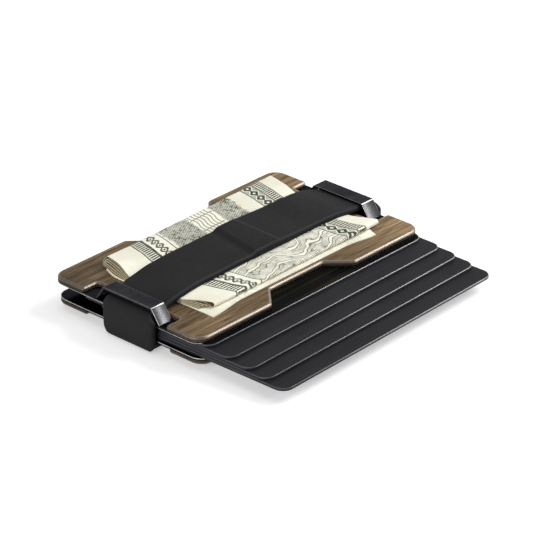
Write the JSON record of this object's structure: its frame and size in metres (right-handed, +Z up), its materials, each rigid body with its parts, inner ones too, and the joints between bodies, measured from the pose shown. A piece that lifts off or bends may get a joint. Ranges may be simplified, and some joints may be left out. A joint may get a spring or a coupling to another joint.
{
  "type": "money clip card holder",
  "caption": "Slim holder: walnut-faced metal plates close on fanned cards, and an elastic band under bridge loops clips folded notes on top.",
  "frame": {"origin": "on the band's flat underside, below the middle of the plates", "axes": "+X along the plates' length and the band, +Y away from the side where the cards fan out, +Z up through the stack"},
  "size_m": [0.0912, 0.082, 0.0127],
  "materials": {
    "walnut": "oiled open-grain walnut with rounded edges",
    "adhesive": "thin translucent film",
    "plate": "black anodised with a bright cut inner edge",
    "loop": "satin black bent sheet with worn bright bends",
    "silicone": "matte black",
    "card": "soft-touch black with pale cut edges",
    "note": "cream cotton paper with dark green line ornament"
  },
  "bodies": {
    "lower_half": {"lower_scale": "walnut", "lower_film": "adhesive", "lower_plate": "plate", "band_base": "silicone", "band_walls": "silicone"},
    "upper_half": {"upper_scale": "walnut", "upper_film": "adhesive", "upper_plate": "plate", "left_loop": "loop", "right_loop": "loop", "cash_strap": "silicone"},
    "card_1": {"card_1": "card"},
    "card_2": {"card_2": "card"},
    "card_3": {"card_3": "card"},
    "card_4": {"card_4": "card"},
    "card_5": {"card_5": "card"},
    "outer_note": {"outer_note": "note"},
    "middle_note": {"middle_note": "note"},
    "inner_note": {"inner_note": "note"},
    "under_note": {"under_note": "note"}
  },
  "joints": [
    {"name": "halves_spread", "type": "slide", "parent": "lower_half", "child": "upper_half", "axis": [0, 0, 1], "range_m": [0, 0.0056], "stiffness_N_per_m": 400, "springref_m": -0.008, "deforming": ["band_walls"]},
    {"name": "card_1_slide", "type": "slide", "parent": "lower_half", "child": "card_1", "axis": [0, -1, 0], "range_m": [-0.002, 0.048]},
    {"name": "card_2_slide", "type": "slide", "parent": "lower_half", "child": "card_2", "axis": [0, -1, 0], "range_m": [-0.0089, 0.0411]},
    {"name": "card_3_slide", "type": "slide", "parent": "lower_half", "child": "card_3", "axis": [0, -1, 0], "range_m": [-0.0151, 0.0349]},
    {"name": "card_4_slide", "type": "slide", "parent": "lower_half", "child": "card_4", "axis": [0, -1, 0], "range_m": [-0.0209, 0.0291]},
    {"name": "card_5_slide", "type": "slide", "parent": "lower_half", "child": "card_5", "axis": [0, -1, 0], "range_m": [-0.027, 0.023]},
    {"name": "outer_note_slide", "type": "slide", "parent": "upper_half", "child": "outer_note", "axis": [0, -1, 0], "range_m": [0, 0.045]},
    {"name": "middle_note_slide", "type": "slide", "parent": "outer_note", "child": "middle_note", "axis": [0, -1, 0], "range_m": [0, 0.04]},
    {"name": "inner_note_slide", "type": "slide", "parent": "middle_note", "child": "inner_note", "axis": [0, -1, 0], "range_m": [0, 0.04]},
    {"name": "under_note_slide", "type": "slide", "parent": "upper_half", "child": "under_note", "axis": [0, -1, 0], "range_m": [0, 0.045]}
  ]
}
